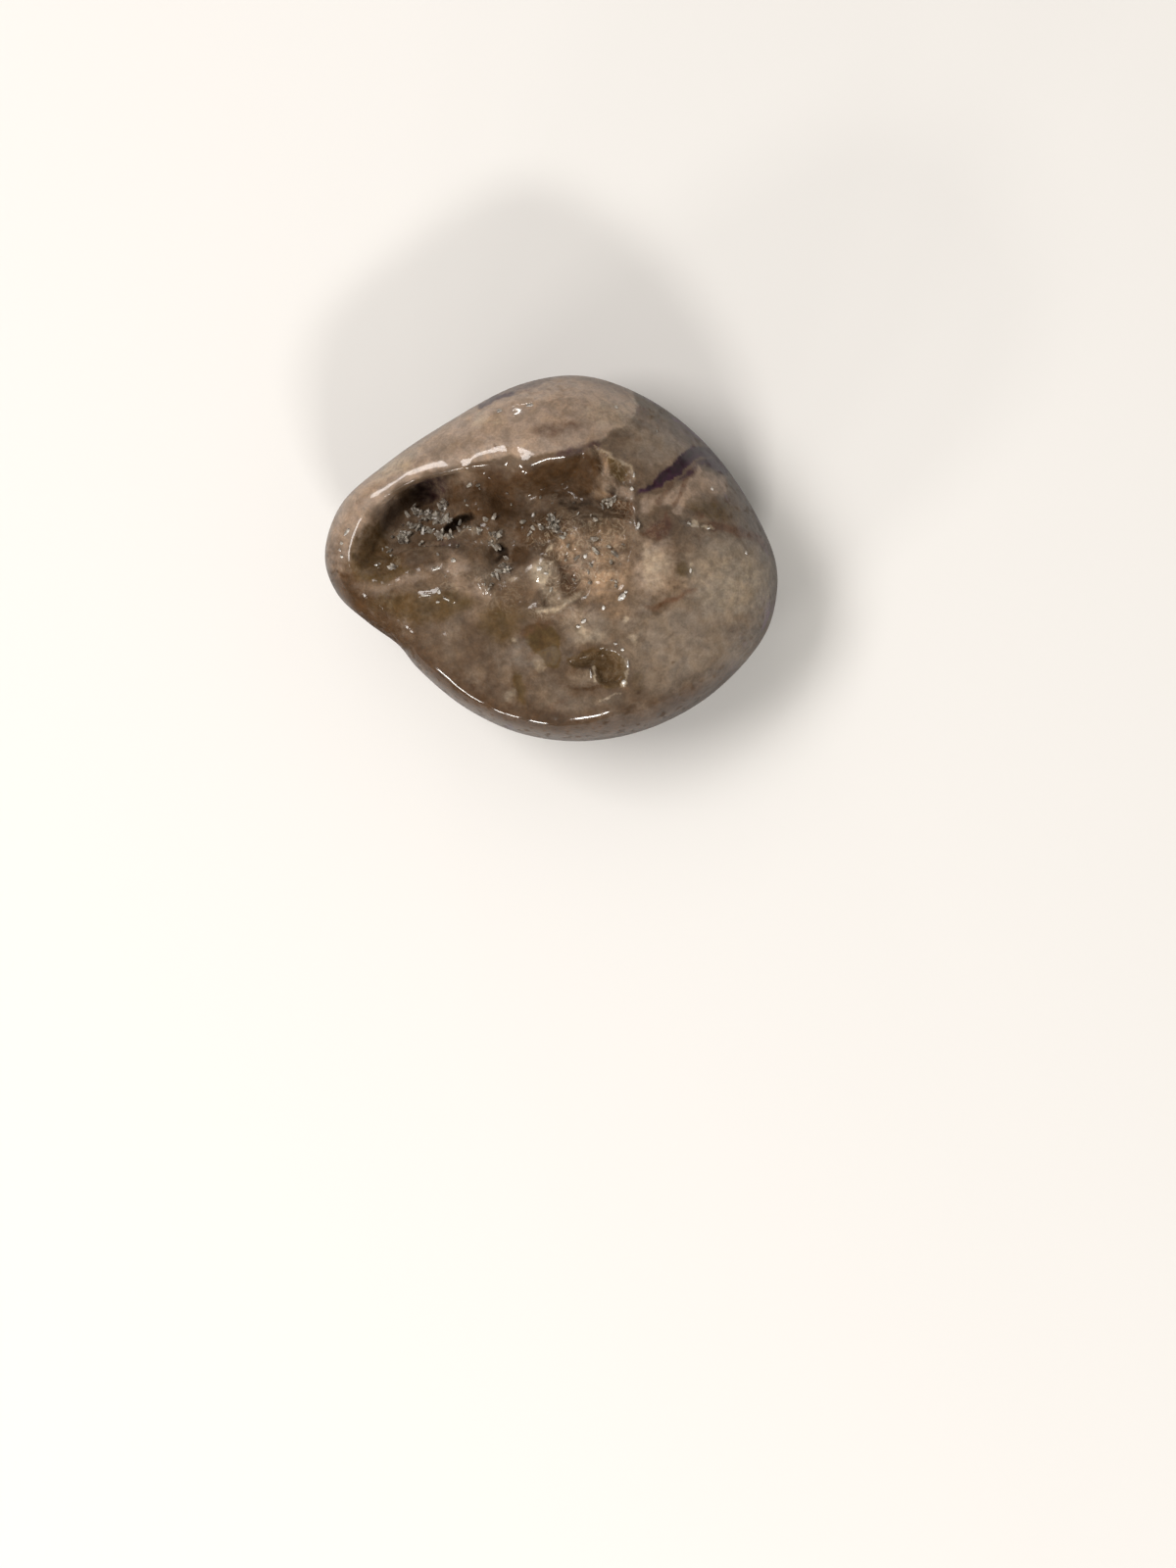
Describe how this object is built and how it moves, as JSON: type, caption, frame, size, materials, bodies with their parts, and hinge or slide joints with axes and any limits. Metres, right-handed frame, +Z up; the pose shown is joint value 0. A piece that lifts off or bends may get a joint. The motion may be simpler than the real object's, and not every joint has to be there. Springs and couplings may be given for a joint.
{
  "type": "tumbled charoite stone",
  "caption": "Polished pebble of pale mauve-brown charoite with a dark purple vein and a rough natural hollow in its upper face.",
  "frame": {"origin": "middle of the stone's footprint, on the flat it rests on", "axes": "+Z up, +X along the stone from its narrow end to its broad end, +Y across it towards the smooth lobe above the hollow"},
  "size_m": [0.0352, 0.0284, 0.0155],
  "materials": {
    "charoite": "tumble polished, glossy, rough in the hollow"
  },
  "bodies": {
    "root": {"stone": "charoite"}
  },
  "joints": []
}
